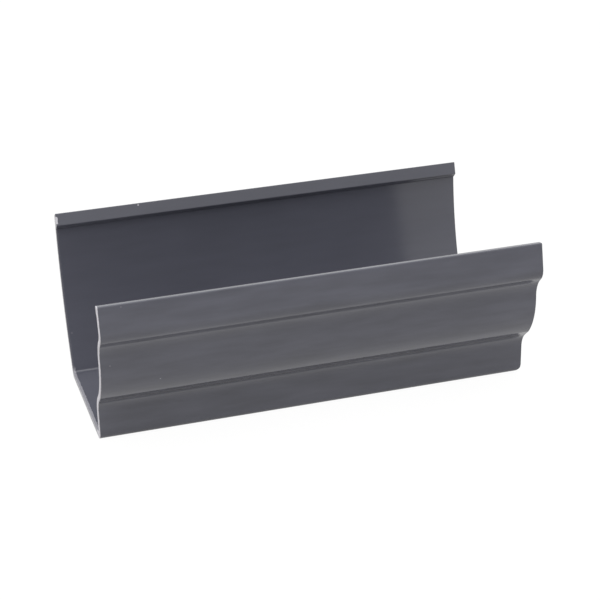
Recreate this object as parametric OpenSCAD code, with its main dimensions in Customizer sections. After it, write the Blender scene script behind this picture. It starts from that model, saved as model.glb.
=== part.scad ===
// Short length of ogee rainwater gutter, extruded in one piece and sawn off square at both ends.
// It lies on its flat base: +X along its length, +Y towards the wall of the house, +Z up.

/* [Length] */
// Length between the two sawn ends
length = 208; // [60:1:600]

/* [Channel] */
// Thickness of the extruded wall
wall = 2.4; // [1.8:0.1:3]
// Flat width of the base, between its two corners
base_w = 68.5; // [45:0.5:120]
// Height of the front wall, to the top of its lip
front_h = 75.6; // [73:0.2:120]
// Height of the back wall, to the crest of its nose
back_h = 81.4; // [60:0.2:120]

/* [Front wall, from the foot up] */
// Inside radius of the corner between the base and the front wall
foot_r = 0.8; // [0.4:0.1:3]
// Forward lean of the lower band, from upright
band_lean = 4; // [0:0.5:8]
// Height of the lower band
band_h = 11; // [8:0.5:16]
// Radius of the small hollow above the lower band
hollow_r = 11; // [6:0.5:14]
// Slope of the step under the belly, from upright
step_slope = 51; // [46:1:60]
// Length of the step's flat underside
step_run = 5.4; // [3:0.1:8]
// Inside radius of the step's crisp outer edge
step_edge_r = 0.4; // [0.2:0.1:2]
// Slope at which the belly leaves the step, from upright
belly_slope = 43; // [38:1:48]
// Inside radius of the belly
belly_r = 29; // [26:0.5:36]
// Radius of the long hollow under the upper band
cove_r = 13; // [10:0.5:18]
// Slope of the shoulder above the hollow, from upright
shoulder_slope = 47; // [40:1:55]
// Length of the shoulder's flat
shoulder_run = 2; // [0.5:0.1:4]
// Inside radius between the shoulder and the upper band
shoulder_r = 4.4; // [2:0.1:6]
// Backward lean of the upper band, from upright
top_lean = 8; // [2:0.5:12]

/* [Lip along the front wall] */
// Height of the lip's full thickness
lip_h = 3.6; // [2:0.1:5]
// Height of the taper below it
lip_taper = 1.4; // [0.5:0.1:3]
// How far the lip stands in from the wall
lip_depth = 1.1; // [0.5:0.1:2]

/* [Back wall, from the base up] */
// Inside radius of the corner between the base and the back wall
heel_r = 2; // [1:0.5:8]
// Backward lean of the wall where it leaves the corner, from upright
back_lean = 26; // [10:1:28]

/* [Nose along the back wall] */
// Height of the nose's face, from its bill to its crest
nose_h = 6.1; // [4:0.1:8]
// Height of the undercut below the bill
nose_undercut = 2.6; // [2:0.1:5]
// How far the bill stands in from the wall
nose_bill = 3; // [1.5:0.1:4]
// How far the crest stands in from the wall
nose_crest = 1.5; // [0.5:0.1:2.5]
// How far the top falls from the crest to the rear face
nose_fall = 2.4; // [1:0.1:3]

/* [Edges] */
// Radius along the edges of the lip, the bill and the rear of the nose
edge_r = 0.6; // [0.3:0.1:0.8]
// Radius along the crest of the nose
crest_r = 0.4; // [0.2:0.1:0.8]

/* [Hidden] */
body_color = "#44464f";

// Largest turn between two points of a bend
facet = 3;
upright = 90;
// Which way the wall is thickened as its outer face is followed
right_side = -1;
left_side = 1;

// The outer face is a list of poses: [y, z, heading, thickness, edge radius].
function last(poses) = poses[len(poses) - 1];
function start(y, heading) = [y, 0, heading, wall, 0];

function run(from, size, thick = wall, edge = 0) = [[
    from[0] + size * cos(from[2]),
    from[1] + size * sin(from[2]),
    from[2], thick, edge
]];

// A bend turns left when turn is above zero. inner_r is the radius of its tighter face.
function bend(from, turn, inner_r, side) =
    let (
        outward = sign(turn) * (inner_r + (sign(turn) == side ? wall : 0)),
        count = ceil(abs(turn) / facet)
    )
    [for (i = [1:count]) let (heading = from[2] + turn * i / count) [
        from[0] + outward * (sin(heading) - sin(from[2])),
        from[1] + outward * (cos(from[2]) - cos(heading)),
        heading, wall, 0
    ]];

// The front wall bends as an ogee: a hollow, a step, a full belly, a longer hollow and a shoulder.
front_start = start(0, 2 * upright);
foot = bend(front_start, band_lean - upright, foot_r, right_side);
band = run(last(foot), band_h / cos(band_lean));
hollow = bend(last(band), step_slope - band_lean, hollow_r, right_side);
step = run(last(hollow), step_run);
step_edge = bend(last(step), belly_slope - step_slope, step_edge_r, right_side);

// The bends above the belly always leave it upright, so their rise is known before it is bent.
function cove_and_brow(from) =
    let (
        cove = bend(from, shoulder_slope, cove_r, right_side),
        shoulder = run(last(cove), shoulder_run)
    )
    concat(cove, shoulder, bend(last(shoulder), -(shoulder_slope + top_lean), shoulder_r, right_side));

// A front wall that is low for its bends gets a tighter belly, so that its lip keeps a flat below it.
belly_top = front_h - (2 * lip_h + lip_taper) * cos(top_lean) - last(cove_and_brow(start(0, upright)))[1];
belly_fit_r = (belly_top - last(step_edge)[1]) / sin(belly_slope) - wall;
belly = bend(last(step_edge), -belly_slope, min(belly_r, belly_fit_r), right_side);
brow = cove_and_brow(last(belly));
top_run = (front_h - last(brow)[1]) / cos(top_lean);
top_band = run(last(brow), top_run - lip_h - lip_taper);
lip = concat(
    run(last(top_band), lip_taper, wall + lip_depth, 0),
    run(last(top_band), lip_taper + lip_h, wall + lip_depth, edge_r)
);
front = concat([front_start], foot, band, hollow, step, step_edge, belly, brow, top_band, lip);

// The back wall leaves its corner leaning back and bows until it is upright under the nose.
back_start = start(base_w, 0);
heel = bend(back_start, upright - back_lean, heel_r, left_side);
bow_outer_r = (back_h - nose_h - nose_undercut - last(heel)[1]) / sin(back_lean);
bow = bend(last(heel), back_lean, bow_outer_r - wall, left_side);
nose_rear = run(last(bow), nose_undercut + nose_h - nose_fall);
nose_face = concat(
    run(last(bow), nose_undercut, wall + nose_bill, edge_r),
    run(last(bow), nose_undercut + nose_h, wall + nose_crest, crest_r)
);
back = concat([back_start], heel, bow);

// Outline points are [y, z, edge radius]. Only the top corner of the outer face is rounded.
function reversed(list) = [for (i = [len(list) - 1:-1:0]) list[i]];
function outer_face(poses) = [for (i = [0:len(poses) - 1])
    [poses[i][0], poses[i][1], i == len(poses) - 1 ? edge_r : 0]];
function inner_face(poses, side) = [for (p = poses)
    [p[0] - side * p[3] * sin(p[2]), p[1] + side * p[3] * cos(p[2]), p[4]]];

outline = concat(
    reversed(outer_face(concat(back, nose_rear))),
    outer_face(front),
    reversed(inner_face(front, right_side)),
    inner_face(concat(back, nose_face), left_side)
);

// Each point with a radius becomes an arc that meets both of its edges.
edge_facets = 6;
function flat(p) = [p[0], p[1]];
function unit(v) = v / norm(v);
function bearing(v) = atan2(v[1], v[0]);
function half_turn_wrap(a) = a > 180 ? a - 360 : a < -180 ? a + 360 : a;

function rounded_corner(before, corner, after, r) =
    let (
        to_before = unit(before - corner),
        to_after = unit(after - corner),
        half = acos(to_before * to_after) / 2,
        centre = corner + unit(to_before + to_after) * r / sin(half),
        from = bearing(corner + to_before * r / tan(half) - centre),
        sweep = half_turn_wrap(bearing(corner + to_after * r / tan(half) - centre) - from)
    )
    [for (i = [0:edge_facets]) let (a = from + sweep * i / edge_facets)
        centre + r * [cos(a), sin(a)]];

function rounded(points) = let (count = len(points))
    [for (i = [0:count - 1])
        each points[i][2] == 0
            ? [flat(points[i])]
            : rounded_corner(
                flat(points[(i + count - 1) % count]), flat(points[i]),
                flat(points[(i + 1) % count]), points[i][2])];

section = rounded(outline);
front_face_y = min([for (p = section) p[0]]);
back_face_y = max([for (p = section) p[0]]);
middle_y = (front_face_y + back_face_y) / 2;

module gutter() {
    color(body_color)
        translate([-length / 2, -middle_y, 0])
            rotate([90, 0, 90])
                linear_extrude(length)
                    polygon(section);
}

gutter();
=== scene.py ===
# Short length of dark grey ogee gutter, sawn square at both ends and laid on a white studio floor.
# The dictionaries are in millimetres and degrees, unless a note says otherwise.
import math

import bmesh
import bpy
from mathutils import Matrix, Vector, noise


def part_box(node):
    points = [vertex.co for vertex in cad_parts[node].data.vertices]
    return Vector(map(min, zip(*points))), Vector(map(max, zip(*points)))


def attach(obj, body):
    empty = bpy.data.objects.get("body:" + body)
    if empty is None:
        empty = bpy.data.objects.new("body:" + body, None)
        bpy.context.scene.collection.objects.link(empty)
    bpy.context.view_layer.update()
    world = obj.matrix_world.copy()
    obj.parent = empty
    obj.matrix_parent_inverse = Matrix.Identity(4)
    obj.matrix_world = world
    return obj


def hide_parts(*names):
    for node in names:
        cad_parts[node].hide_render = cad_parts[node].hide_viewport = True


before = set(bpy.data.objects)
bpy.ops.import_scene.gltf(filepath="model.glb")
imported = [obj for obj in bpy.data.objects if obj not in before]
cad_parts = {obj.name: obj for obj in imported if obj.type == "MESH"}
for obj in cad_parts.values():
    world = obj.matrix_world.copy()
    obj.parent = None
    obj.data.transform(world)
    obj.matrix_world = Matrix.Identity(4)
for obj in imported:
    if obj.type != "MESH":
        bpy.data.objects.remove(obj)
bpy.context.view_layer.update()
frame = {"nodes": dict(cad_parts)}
print("frame loaded:", ", ".join(frame["nodes"]))

mm = 0.001
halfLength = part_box("gutter")[1].x / mm


class Wire:  # one output socket, so that shader maths reads as plain arithmetic
    def __init__(self, graph, socket):
        self.graph = graph
        self.socket = socket

    def combine(self, operation, first, second):
        return self.graph.add("ShaderNodeMath", {"operation": operation}, {0: first, 1: second})

    def __add__(self, other):
        return self.combine("ADD", self, other)

    def __radd__(self, other):
        return self.combine("ADD", other, self)

    def __sub__(self, other):
        return self.combine("SUBTRACT", self, other)

    def __rsub__(self, other):
        return self.combine("SUBTRACT", other, self)

    def __mul__(self, other):
        return self.combine("MULTIPLY", self, other)

    def __rmul__(self, other):
        return self.combine("MULTIPLY", other, self)


class Graph:  # the node tree of a material or of the world
    def __init__(self, owner):
        owner.use_nodes = True
        self.tree = owner.node_tree
        self.tree.nodes.clear()

    def add(self, kind, settings=None, sockets=None, out=0):
        node = self.tree.nodes.new(kind)
        for name, value in (settings or {}).items():
            setattr(node, name, value)
        for name, value in (sockets or {}).items():
            if isinstance(value, Wire):
                self.tree.links.new(value.socket, node.inputs[name])
            else:
                node.inputs[name].default_value = value
        return Wire(self, node.outputs[out]) if len(node.outputs) else node

    def fade(self, value, start, end):  # 0 at start, 1 at end, with soft shoulders
        return self.add("ShaderNodeMapRange", {"interpolation_type": "SMOOTHSTEP"},
                        {"Value": value, "From Min": start, "From Max": end})

    def larger(self, first, second):
        return self.add("ShaderNodeMath", {"operation": "MAXIMUM"}, {0: first, 1: second})

    def parts(self, vector):  # its x, y and z
        node = self.add("ShaderNodeSeparateXYZ", {}, {0: vector}).socket.node
        return [Wire(self, socket) for socket in node.outputs]

    def times(self, vector, factors):
        return self.add("ShaderNodeVectorMath", {"operation": "MULTIPLY"}, {0: vector, 1: factors})

    def grain(self, spot, size, detail=2):  # noise from 0 to 1, with spots about this many mm wide
        return self.add("ShaderNodeTexNoise", {}, {"Vector": spot, "Scale": 1 / (size * mm),
                                                   "Detail": detail})

    def blendColour(self, factor, first, second):  # the Mix node's own colour sockets
        return self.add("ShaderNodeMix", {"data_type": "RGBA"}, {0: factor, 6: first, 7: second}, out=2)


# The camera stands where the photograph was taken from
camera = {"place": (-204.7, -748.1, 362.6), "turn": 15.597, "tilt": 20.549, "roll": -2.307,
          "lens": 104.36, "sensor": 36, "rise": -0.1, "nearest": 10, "farthest": 50000}

lens = bpy.data.cameras.new("studioCamera")
lens.sensor_width = camera["sensor"]
lens.lens = camera["lens"]
lens.shift_y = camera["rise"]
lens.clip_start = camera["nearest"] * mm
lens.clip_end = camera["farthest"] * mm
cameraObject = bpy.data.objects.new("studioCamera", lens)
bpy.context.scene.collection.objects.link(cameraObject)
cameraObject.matrix_world = (
    Matrix.Translation(Vector(camera["place"]) * mm)
    @ Matrix.Rotation(math.radians(-camera["turn"]), 4, "Z")
    @ Matrix.Rotation(math.radians(90 - camera["tilt"]), 4, "X")
    @ Matrix.Rotation(math.radians(camera["roll"]), 4, "Z")
)
bpy.context.scene.camera = cameraObject
print("camera set")

# The extruded section, from the base round the ogee front and up the back wall
profile = {
    "wall": 2.4, "baseWidth": 68.5, "frontHeight": 75.6, "backHeight": 81.4,
    "footRadius": 0.8, "bandLean": 4, "bandHeight": 11, "hollowRadius": 11,
    "stepSlope": 51, "stepRun": 5.4, "stepEdgeRadius": 0.4, "bellySlope": 43, "bellyRadius": 29,
    "coveRadius": 13, "shoulderSlope": 47, "shoulderRun": 2, "shoulderRadius": 4.4, "topLean": 8,
    "lipHeight": 3.6, "lipTaper": 1.4, "lipDepth": 1.1,
    "heelRadius": 2, "backLean": 26,
    "noseHeight": 6.1, "noseUndercut": 2.6, "noseBill": 3, "noseCrest": 1.5, "noseFall": 2.4,
    "edgeRadius": 0.6, "crestRadius": 0.4,
    "bendStep": 1.5, "edgeStep": 9, "longestFace": 1.2, "sharpFrom": 28,
}


class WallPath:  # follows the outer face of one wall; the inner face lies to its side
    def __init__(self, y, heading, side):
        self.side = side
        self.poses = [(y, 0, heading, profile["wall"], 0)]

    def run(self, size, extra=0, edge=0, fromPose=None):
        y, z, heading = (fromPose or self.poses[-1])[:3]
        angle = math.radians(heading)
        self.poses.append((y + size * math.cos(angle), z + size * math.sin(angle), heading,
                           profile["wall"] + extra, edge))

    def bend(self, turn, innerRadius):
        y, z, heading = self.poses[-1][:3]
        way = math.copysign(1, turn)
        radius = way * (innerRadius + (profile["wall"] if way == self.side else 0))
        count = math.ceil(abs(turn) / profile["bendStep"])
        began = math.radians(heading)
        for i in range(1, count + 1):
            angle = math.radians(heading + turn * i / count)
            self.poses.append((y + radius * (math.sin(angle) - math.sin(began)),
                               z + radius * (math.cos(began) - math.cos(angle)),
                               heading + turn * i / count, profile["wall"], 0))

    def top(self):
        return self.poses[-1][1]

    def outer(self, poses):  # only the top corner of the outer face is rounded
        return [(p[0], p[1], profile["edgeRadius"] if p is poses[-1] else 0) for p in poses]

    def inner(self, poses):
        return [(p[0] - self.side * p[3] * math.sin(math.radians(p[2])),
                 p[1] + self.side * p[3] * math.cos(math.radians(p[2])), p[4]) for p in poses]


def frontWall():
    v = profile
    path = WallPath(0, 180, -1)
    path.bend(v["bandLean"] - 90, v["footRadius"])
    path.run(v["bandHeight"] / math.cos(math.radians(v["bandLean"])))
    path.bend(v["stepSlope"] - v["bandLean"], v["hollowRadius"])
    path.run(v["stepRun"])
    path.bend(v["bellySlope"] - v["stepSlope"], v["stepEdgeRadius"])
    path.bend(-v["bellySlope"], v["bellyRadius"])
    path.bend(v["shoulderSlope"], v["coveRadius"])
    path.run(v["shoulderRun"])
    path.bend(-(v["shoulderSlope"] + v["topLean"]), v["shoulderRadius"])
    topRun = (v["frontHeight"] - path.top()) / math.cos(math.radians(v["topLean"]))
    path.run(topRun - v["lipHeight"] - v["lipTaper"])
    path.run(v["lipTaper"], v["lipDepth"])
    path.run(v["lipHeight"], v["lipDepth"], v["edgeRadius"])
    return path.outer(path.poses), path.inner(path.poses)


def backWall():
    v = profile
    path = WallPath(v["baseWidth"], 0, 1)
    path.bend(90 - v["backLean"], v["heelRadius"])
    noseTop = v["noseUndercut"] + v["noseHeight"]
    bowRadius = (v["backHeight"] - noseTop - path.top()) / math.sin(math.radians(v["backLean"]))
    path.bend(v["backLean"], bowRadius - v["wall"])
    plain = list(path.poses)
    bowEnd = path.poses[-1]
    path.run(noseTop - v["noseFall"])
    outer = path.outer(path.poses)
    path.poses = plain
    path.run(v["noseUndercut"], v["noseBill"], v["edgeRadius"], fromPose=bowEnd)
    path.run(noseTop, v["noseCrest"], v["crestRadius"], fromPose=bowEnd)
    return outer, path.inner(path.poses)


def roundedCorner(before, corner, after, radius):
    toBefore = (before - corner).normalized()
    toAfter = (after - corner).normalized()
    half = toBefore.angle(toAfter) / 2
    centre = corner + (toBefore + toAfter).normalized() * radius / math.sin(half)
    first = corner + toBefore * radius / math.tan(half) - centre
    sweep = -first.angle_signed(corner + toAfter * radius / math.tan(half) - centre)
    count = math.ceil(math.degrees(abs(sweep)) / profile["edgeStep"])
    return [centre + Matrix.Rotation(sweep * i / count, 2) @ first for i in range(count + 1)]


def sectionPoints():
    frontOuter, frontInner = frontWall()
    backOuter, backInner = backWall()
    corners = backOuter[::-1] + frontOuter + frontInner[::-1] + backInner
    flat = [Vector(c[:2]) for c in corners]
    points = []
    for i, corner in enumerate(corners):
        if corner[2]:
            points += roundedCorner(flat[i - 1], flat[i], flat[(i + 1) % len(flat)], corner[2])
        else:
            points.append(flat[i])
    shift = (min(p.x for p in points) + max(p.x for p in points)) / 2
    points = [p - Vector((shift, 0)) for p in points]
    ring = []
    for i, point in enumerate(points):  # long flats are divided, so that the sawn edge can wander
        following = points[(i + 1) % len(points)]
        count = max(1, math.ceil((following - point).length / profile["longestFace"]))
        ring += [point.lerp(following, k / count) for k in range(count)]
    return ring


# The sawn ends: a ragged break along every edge, where the blade tore the skin a little,
# and the foot's corner worn round at the right end
sawnEnd = {"breakDepth": 0.1, "breakReach": 0.32, "raggedness": 0.7, "grain": 0.8, "seed": 21.9,
           "wornCorner": 4.2, "wornFrom": 3.6, "wornTo": 8}


def wander(travel, end):  # slow noise along the section, from 0 to 1
    spot = Vector((travel / sawnEnd["grain"], sawnEnd["seed"] * end, 0))
    return 0.5 + 0.5 * sawnEnd["raggedness"] * noise.noise(spot)


def worn(point, frontFace):  # how far the right end is worn back here, full at the foot's outer face
    radius = sawnEnd["wornCorner"]
    if point.y > radius:
        return 0
    depth = (point.x - frontFace - sawnEnd["wornFrom"]) / (sawnEnd["wornTo"] - sawnEnd["wornFrom"])
    share = 1 - min(max(depth, 0), 1)
    return (radius - math.sqrt(radius ** 2 - (radius - max(point.y, 0)) ** 2)) * share


def makeProfile():
    ring = sectionPoints()
    footFace = min(p.x for p in ring if p.y < sawnEnd["wornCorner"])
    count = len(ring)
    inward = []
    travel = [0]
    for i, point in enumerate(ring):
        along = (ring[(i + 1) % count] - ring[i - 1]).normalized()
        inward.append(Vector((-along.y, along.x)))
        travel.append(travel[-1] + (ring[(i + 1) % count] - point).length)
    if sum(ring[i - 1].cross(ring[i]) for i in range(count)) < 0:  # it runs clockwise
        inward = [-v for v in inward]
    work = bmesh.new()
    rings = []
    for end in (-1, 1):
        capRing = []
        skinRing = []
        for i, point in enumerate(ring):
            rough = wander(travel[i], end)
            inset = point + inward[i] * sawnEnd["breakDepth"] * rough
            length = halfLength - (worn(point, footFace) if end > 0 else 0)
            capRing.append(work.verts.new(Vector((end * length, inset.x, inset.y)) * mm))
            reach = length - sawnEnd["breakReach"] * rough
            skinRing.append(work.verts.new(Vector((end * reach, point.x, point.y)) * mm))
        rings += [capRing, skinRing] if end < 0 else [skinRing, capRing]
    for lower, upper in zip(rings, rings[1:]):
        for i in range(count):
            work.faces.new((lower[i - 1], lower[i], upper[i], upper[i - 1]))
    work.faces.new(rings[0])
    work.faces.new(rings[-1])
    bmesh.ops.recalc_face_normals(work, faces=work.faces)
    for face in work.faces:
        face.smooth = True
    mesh = bpy.data.meshes.new("gutterProfile")
    work.to_mesh(mesh)
    work.free()
    mesh.set_sharp_from_angle(angle=math.radians(profile["sharpFrom"]))
    piece = bpy.data.objects.new("gutterProfile", mesh)
    bpy.context.scene.collection.objects.link(piece)
    even = piece.modifiers.new("evenNormals", "WEIGHTED_NORMAL")
    even.keep_sharp = True
    return piece


gutterProfile = makeProfile()
print("profile made:", len(gutterProfile.data.vertices), "points")

# The plastic: anthracite, satin, paler where the saw whitened it; beside the left cut the pale band on
# the base is partly a painted reflection and the one on the nose's face partly a painted highlight. A
# zone is a pair of heights or depths over which it fades in. A reach is how far a pale band goes in
# beside the left cut.
plastic = {
    "colour": (0.083, 0.085, 0.107, 1), "paleColour": (0.62, 0.61, 0.65, 1), "ior": 1.54,
    "roughness": 0.16, "smudgeRoughness": 0.03, "paleRoughness": 0.7, "smudgeSize": 35,
    "darkest": 0.5, "palest": 1.5, "toneShare": 0.2, "toneSize": 60,
    "streakShare": 0.56, "streakSize": 5, "streakStretch": 0.18, "streakBehind": 0.25,
    "dieLineSize": 1.4, "dieLineStretch": 0.02, "dieLineHeight": 0.004,
    "peelSize": 9, "peelHeight": 0.01, "waveSize": 7, "waveStretch": 0.2, "waveHeight": 0.05,
    "springZone": (45, 113), "springHeight": 0.7,
    "frontZone": (-24, -30), "noseZone": (73.5, 74.5), "baseZone": (6, 3),
    "frontReach": 0.35, "frontWhite": 1.0, "baseReach": 1.2, "baseWhite": 0.35,
    "backReach": 0.8, "backWhite": 0.05, "noseReach": 0.9, "noseWhite": 1.0,
    "noseWhiteFrom": 76.6, "noseWhiteTo": 80.0, "noseWhiteFade": 0.5,
    "raggedSize": 1.5, "paleBandFade": 0.12, "rightWhite": 0.6, "rightZone": (0.06, 0.02),
    "markCore": 0.4,
}
# Specks of dust and nicks: place, radius and how pale each is
marks = [((-93.4, -57.1, 74.3), 0.3, 0.25), ((-76.7, -47.8, 33.3), 0.35, 0.5),
         ((-99.3, -50.8, 44.5), 0.3, 0.3), ((-62.8, 54.5, 80.4), 0.5, 0.9),
         ((-102.0, 47.3, 20.7), 0.6, 0.1)]


def makePlastic():
    v = plastic
    material = bpy.data.materials.new("gutterPlastic")
    g = Graph(material)
    spot = g.add("ShaderNodeTexCoord", out=3)
    x, y, z = g.parts(spot)
    toLeft = x + halfLength * mm
    toRight = halfLength * mm - x
    grown = 0.5 + g.grain(spot, v["raggedSize"], 3)

    def zone(value, ends):
        return g.fade(value, ends[0] * mm, ends[1] * mm)

    def paleBesideLeftCut(reach, white):  # pale beside the left cut, in a ragged band of this reach
        return zone(toLeft - grown * (reach * mm), (v["paleBandFade"], -v["paleBandFade"])) * white

    front = zone(y, v["frontZone"])
    nose = zone(z, v["noseZone"]) * (1 - front)
    base = zone(z, v["baseZone"]) * (1 - front)
    backShare = (1 - front) * (1 - nose) * (1 - base)
    noseFace = (zone(z, (v["noseWhiteFrom"] - v["noseWhiteFade"], v["noseWhiteFrom"]))
                * zone(z, (v["noseWhiteTo"], v["noseWhiteTo"] - v["noseWhiteFade"])))
    # Pale bands beside the cuts, where the saw whitened the plastic: on the base the band is partly a
    # painted reflection, on the nose's face partly a painted highlight
    paleMarksAndHighlight = (paleBesideLeftCut(v["frontReach"], v["frontWhite"]) * front
            + paleBesideLeftCut(v["noseReach"], v["noseWhite"]) * nose * noseFace
            + paleBesideLeftCut(v["baseReach"], v["baseWhite"]) * base
            + paleBesideLeftCut(v["backReach"], v["backWhite"]) * backShare
            + zone(toRight, v["rightZone"]) * v["rightWhite"])
    for place, radius, pale in marks:
        away = g.add("ShaderNodeVectorMath", {"operation": "DISTANCE"},
                     {0: spot, 1: tuple(c * mm for c in place)}, out=1)
        paleMarksAndHighlight = g.larger(paleMarksAndHighlight, zone(away, (radius, v["markCore"] * radius)) * pale)

    # Random tone, and streaks along the length that are strongest on the front: partly smudges on the
    # skin, partly a painted reflection of the skin's uneven waviness
    tone = g.grain(spot, v["toneSize"])
    streaks = g.grain(g.times(spot, (v["streakStretch"], 1, 1)), v["streakSize"])
    streakShare = (v["streakBehind"] + front * (1 - v["streakBehind"])) * v["streakShare"]
    shade = 0.5 + (tone - 0.5) * v["toneShare"] + (streaks - 0.5) * streakShare
    darker, lighter = (tuple(c * share for c in v["colour"][:3]) + (1,)
                       for share in (v["darkest"], v["palest"]))
    # Towards the pale colour at the whitened cuts and the specks, and where reflection and highlight
    # are painted beside the left cut
    colour = g.blendColour(paleMarksAndHighlight, g.blendColour(shade, darker, lighter), v["paleColour"])

    smudge = g.grain(spot, v["smudgeSize"], 4)
    skinRoughness = v["roughness"] + (smudge - 0.5) * (2 * v["smudgeRoughness"])
    roughness = skinRoughness + paleMarksAndHighlight * (v["paleRoughness"] - skinRoughness)

    # Faint lines from the die, orange peel, slow waves, and a slight spring in the back wall
    dieLines = g.grain(g.times(spot, (v["dieLineStretch"], 1, 1)), v["dieLineSize"])
    peel = g.grain(spot, v["peelSize"])
    waves = g.grain(g.times(spot, (v["waveStretch"], 1, 1)), v["waveSize"], 1)
    spring = zone(x, v["springZone"]) * backShare
    height = (dieLines * (v["dieLineHeight"] * mm) + peel * (v["peelHeight"] * mm)
              + waves * (v["waveHeight"] * mm) + spring * (v["springHeight"] * mm))
    bump = g.add("ShaderNodeBump", {}, {"Height": height, "Distance": 1.0, "Strength": 1.0})
    shader = g.add("ShaderNodeBsdfPrincipled", {}, {
        "Base Color": colour, "Roughness": roughness, "IOR": v["ior"], "Normal": bump})
    g.add("ShaderNodeOutputMaterial", {}, {"Surface": shader})
    return material


gutterPlastic = makePlastic()
gutterProfile.data.materials.append(gutterPlastic)
for cadSlot in frame["nodes"]["gutter"].material_slots:
    cadSlot.material = gutterPlastic
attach(gutterProfile, "root")
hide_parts("gutter")
print("plastic made")

# White studio: floor and surroundings read as white, and the lamps stay plain
studio = {
    "floorSize": 1300, "floorColour": (0.6, 0.585, 0.57, 1), "floorGlow": 1.06,
    "floorShadow": 0.1, "mirroredShadow": 0.25,
    "skyColour": (1, 1, 1, 1), "skySeen": 1.05, "skyLow": 0.25, "skyHigh": 1.6,
    "roomBelow": 0.4, "roomZone": (0.02, -0.14),
    "softboxSize": 1500, "softboxHeight": 1500, "softboxPlace": (-500, -700), "softboxPower": 10,
}


def seenDirectly(g):  # by the camera, and in mirrors and glass
    outputs = g.add("ShaderNodeLightPath").socket.node.outputs
    mirrored = g.larger(Wire(g, outputs["Is Glossy Ray"]), Wire(g, outputs["Is Transmission Ray"]))
    return Wire(g, outputs["Is Camera Ray"]), mirrored


def makeFloor():
    v = studio
    half = v["floorSize"] / 2 * mm
    mesh = bpy.data.meshes.new("studioFloor")
    corners = [(-half, -half, 0), (half, -half, 0), (half, half, 0), (-half, half, 0)]
    mesh.from_pydata(corners, [], [(0, 1, 2, 3)])
    floor = bpy.data.objects.new("studioFloor", mesh)
    bpy.context.scene.collection.objects.link(floor)
    material = bpy.data.materials.new("floorPaper")
    g = Graph(material)
    paper = g.add("ShaderNodeBsdfDiffuse", {}, {"Color": v["floorColour"]})
    glow = g.add("ShaderNodeEmission", {}, {"Color": (1, 1, 1, 1), "Strength": v["floorGlow"]})
    direct, mirrored = seenDirectly(g)
    share = g.larger(direct * (1 - v["floorShadow"]), mirrored * (1 - v["mirroredShadow"]))
    mixed = g.add("ShaderNodeMixShader", {}, {0: share, 1: paper, 2: glow})
    g.add("ShaderNodeOutputMaterial", {}, {"Surface": mixed})
    mesh.materials.append(material)


def makeSky():
    v = studio
    world = bpy.data.worlds.new("studioWorld")
    bpy.context.scene.world = world
    g = Graph(world)
    direct, mirrored = seenDirectly(g)
    height = g.parts(g.add("ShaderNodeTexCoord"))[2]
    below = mirrored * g.fade(height, *v["roomZone"])  # beyond the table the room is dimmer
    plain = v["skyLow"] + height * (v["skyHigh"] - v["skyLow"])  # brighter overhead
    bright = plain + g.larger(direct, mirrored) * (v["skySeen"] - plain)
    strength = bright + below * (v["roomBelow"] - bright)
    sky = g.add("ShaderNodeBackground", {}, {"Color": v["skyColour"], "Strength": strength})
    g.add("ShaderNodeOutputWorld", {}, {"Surface": sky})


def makeSoftbox():
    v = studio
    lamp = bpy.data.lights.new("softbox", "AREA")
    lamp.shape = "SQUARE"
    lamp.size = v["softboxSize"] * mm
    lamp.energy = v["softboxPower"]
    lampObject = bpy.data.objects.new("softbox", lamp)
    bpy.context.scene.collection.objects.link(lampObject)
    place = Vector((*v["softboxPlace"], v["softboxHeight"])) * mm
    lampObject.location = place
    lampObject.rotation_euler = (-place).to_track_quat("-Z", "Y").to_euler()


makeFloor()
makeSky()
makeSoftbox()
bpy.context.scene.view_settings.view_transform = "Standard"
print("studio made")
